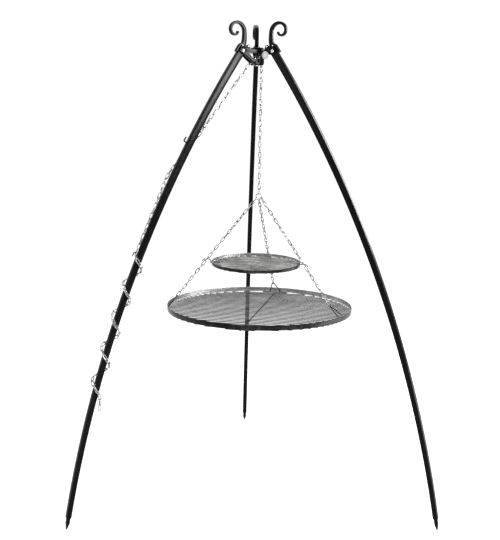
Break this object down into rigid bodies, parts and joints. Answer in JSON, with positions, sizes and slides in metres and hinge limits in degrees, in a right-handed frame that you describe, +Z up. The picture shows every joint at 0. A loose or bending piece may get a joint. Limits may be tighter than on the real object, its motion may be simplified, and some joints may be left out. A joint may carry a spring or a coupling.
{
  "type": "tripod grill",
  "caption": "Swinging tripod grill: bowed steel legs with scroll tops, hub with chain pulley, and a small grate over a large one on chains.",
  "frame": {"origin": "middle of the box round the whole grill, on the ground under the spike tips", "axes": "+Z up, +Y from the two front feet towards the back leg, +X from the left leg to the right leg"},
  "size_m": [1.4984, 1.299, 2.0142],
  "materials": {
    "black_paint": "satin black paint",
    "zinc_steel": "light zinc plating",
    "grate_steel": "bare grey steel, heat marked",
    "bright_steel": "bright plated"
  },
  "bodies": {
    "stand": {"cheek_front": "black_paint", "cheek_rear": "black_paint", "ear_right_rear": "black_paint", "ear_right_front": "black_paint", "ear_back_left": "black_paint", "ear_back_right": "black_paint", "hub_plate": "black_paint", "hinge_bolt_left": "bright_steel", "hinge_bolt_right": "bright_steel", "hinge_bolt_back": "bright_steel", "stop_bolt_left": "bright_steel", "stop_bolt_right": "bright_steel", "stop_bolt_back": "bright_steel", "pulley_axle": "bright_steel", "pulley_chain": "zinc_steel", "tag_disc": "bright_steel"},
    "left_leg": {"leg_upper_left": "black_paint", "leg_lower_left": "black_paint", "spike_left": "black_paint", "scroll_left": "black_paint", "tool_hook": "zinc_steel", "chain_hook": "zinc_steel", "fall_chain": "zinc_steel", "tail_chain": "zinc_steel"},
    "right_leg": {"leg_upper_right": "black_paint", "leg_lower_right": "black_paint", "spike_right": "black_paint", "scroll_right": "black_paint"},
    "back_leg": {"leg_upper_back": "black_paint", "leg_lower_back": "black_paint", "spike_back": "black_paint", "scroll_back": "black_paint"},
    "pulley": {"pulley_wheel": "zinc_steel"},
    "upper_link": {"top_link": "zinc_steel"},
    "lower_link": {"second_link": "zinc_steel"},
    "main_fall": {"main_chain": "zinc_steel"},
    "grates": {"joining_ring": "zinc_steel", "bridle_left": "zinc_steel", "bridle_right": "zinc_steel", "bridle_back": "zinc_steel", "bail_left": "grate_steel", "bail_right": "grate_steel", "bail_back": "grate_steel", "large_rim": "grate_steel", "large_grid": "grate_steel", "small_rim": "grate_steel", "small_grid": "grate_steel", "small_hook_left": "grate_steel", "small_hook_right": "grate_steel", "small_hook_back": "grate_steel"}
  },
  "joints": [
    {"name": "left_leg_fold", "type": "hinge", "parent": "stand", "child": "left_leg", "pos_m": [-0.06634, -0.2499, 1.8965], "axis": [0.5, -0.866, 0], "range_deg": [0, 2]},
    {"name": "right_leg_fold", "type": "hinge", "parent": "stand", "child": "right_leg", "pos_m": [0.06634, -0.2499, 1.8965], "axis": [0.5, 0.866, 0], "range_deg": [0, 2]},
    {"name": "back_leg_fold", "type": "hinge", "parent": "stand", "child": "back_leg", "pos_m": [0, -0.135, 1.8965], "axis": [-1, 0, 0], "range_deg": [0, 2]},
    {"name": "pulley_spin", "type": "hinge", "parent": "stand", "child": "pulley", "pos_m": [0, -0.2116, 1.858], "axis": [0.5, -0.866, 0], "range_deg": [0, 790]},
    {"name": "swing_across", "type": "hinge", "parent": "stand", "child": "upper_link", "pos_m": [0.01905, -0.2006, 1.836], "axis": [0.5, -0.866, 0], "range_deg": [-2, 2]},
    {"name": "swing_along", "type": "hinge", "parent": "upper_link", "child": "lower_link", "pos_m": [0.01905, -0.2006, 1.814], "axis": [-0.866, -0.5, 0], "range_deg": [-2, 2]},
    {"name": "grate_turn", "type": "hinge", "parent": "lower_link", "child": "main_fall", "pos_m": [0.01905, -0.2006, 1.792], "axis": [0, 0, 1], "range_deg": [-180, 180], "deforming": ["main_chain"]},
    {"name": "grate_lift", "type": "slide", "parent": "main_fall", "child": "grates", "axis": [0, 0, 1], "range_m": [0, 0.3]}
  ],
  "couplings": [
    {"joint": "pulley_spin", "follows": "grate_lift", "rad_per_m": 45.455}
  ]
}
